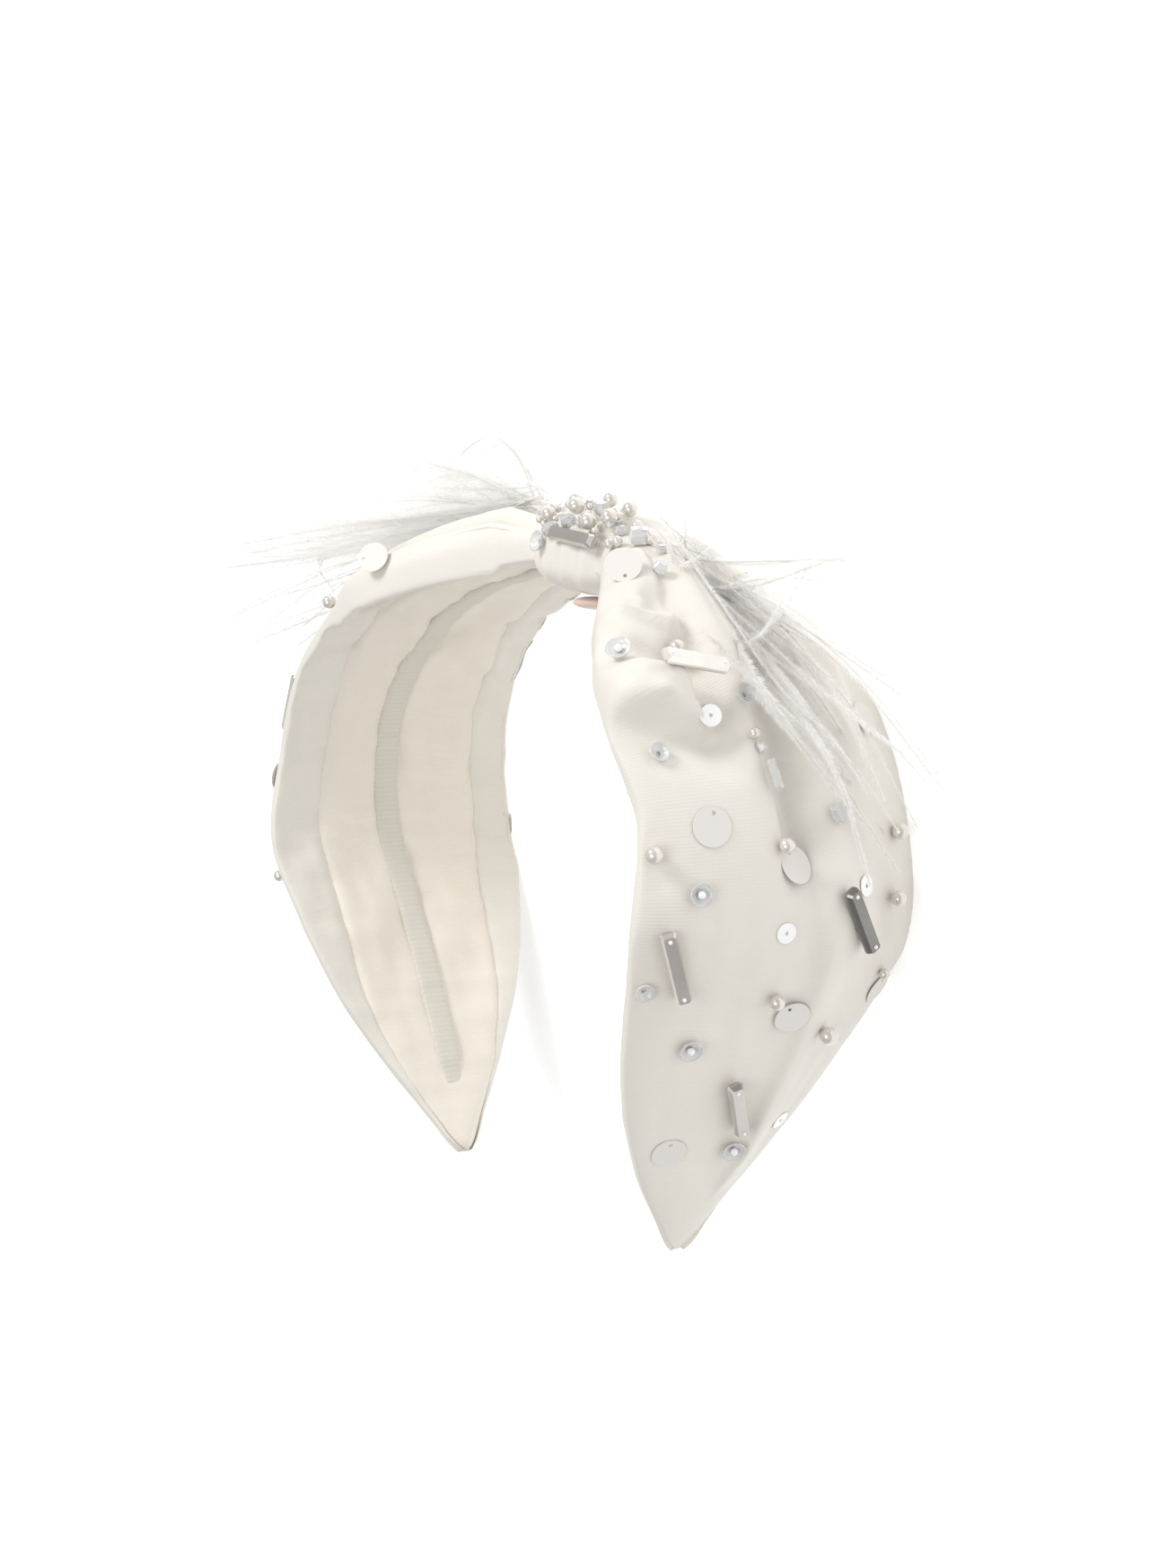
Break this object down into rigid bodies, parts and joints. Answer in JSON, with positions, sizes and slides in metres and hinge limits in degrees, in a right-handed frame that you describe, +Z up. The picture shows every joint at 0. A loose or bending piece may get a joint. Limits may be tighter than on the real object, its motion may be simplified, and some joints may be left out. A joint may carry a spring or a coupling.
{
  "type": "knotted headband with feather plumes",
  "caption": "Wide knotted satin headband lying on its back edge, with feather plumes spreading from the knot and sewn-on bars, pearls, crystals and pale discs.",
  "frame": {"origin": "bottom centre of the box, on the table that the back edge rests on", "axes": "+Z up from the table, +Y from the tips towards the knot, +X towards the leg nearest the viewer in the picture"},
  "size_m": [0.1716, 0.1314, 0.0546],
  "materials": {
    "satin": "ivory satin with a soft sheen",
    "lining": "plain ivory satin",
    "ribbon": "grey-beige grosgrain",
    "blush": "pale pink satin",
    "feather": "soft white plume",
    "bar": "silver-backed faceted bar",
    "disc": "pearly translucent disc",
    "cup": "clear cupped sequin",
    "stone": "clear cut crystal",
    "pearl": "champagne pearl"
  },
  "bodies": {
    "root": {"cover_right": "satin", "cover_left": "satin", "lining_right": "lining", "lining_left": "lining", "inner_ribbon": "ribbon", "knot_wrap": "satin", "knot_pad": "blush", "knot_beads": "stone", "plume_right": "feather", "plume_left": "feather", "bar_front_top": "bar", "bar_back_middle": "bar", "bar_front_middle": "bar", "bar_low": "bar", "paillette_by_knot": "disc", "paillette_front": "disc", "paillette_middle": "disc", "paillette_lower": "disc", "paillette_tip": "disc", "paillette_back_edge": "disc", "paillette_back_top": "disc", "sequin_back": "disc", "sequin_middle": "disc", "sequin_low": "disc", "sequin_top": "disc", "cup_front_edge": "cup", "cup_front": "cup", "cup_lower": "cup", "cup_low": "cup", "crystal_back": "stone", "bugle_middle": "stone", "pearl_top": "pearl", "pearl_front_edge": "pearl", "pearl_middle": "pearl", "pearl_back_edge": "pearl", "pearl_back": "pearl", "pearl_lower": "pearl", "pearl_low": "pearl", "left_bar_top": "bar", "left_bar_middle": "bar", "left_bar_low": "bar", "left_paillette_rim": "disc", "left_paillette_front": "disc", "left_paillette_back": "disc", "left_paillette_low": "disc", "left_pearl_top": "pearl", "left_pearl_middle": "pearl", "left_pearl_edge": "pearl", "left_cup_low": "cup"}
  },
  "joints": []
}
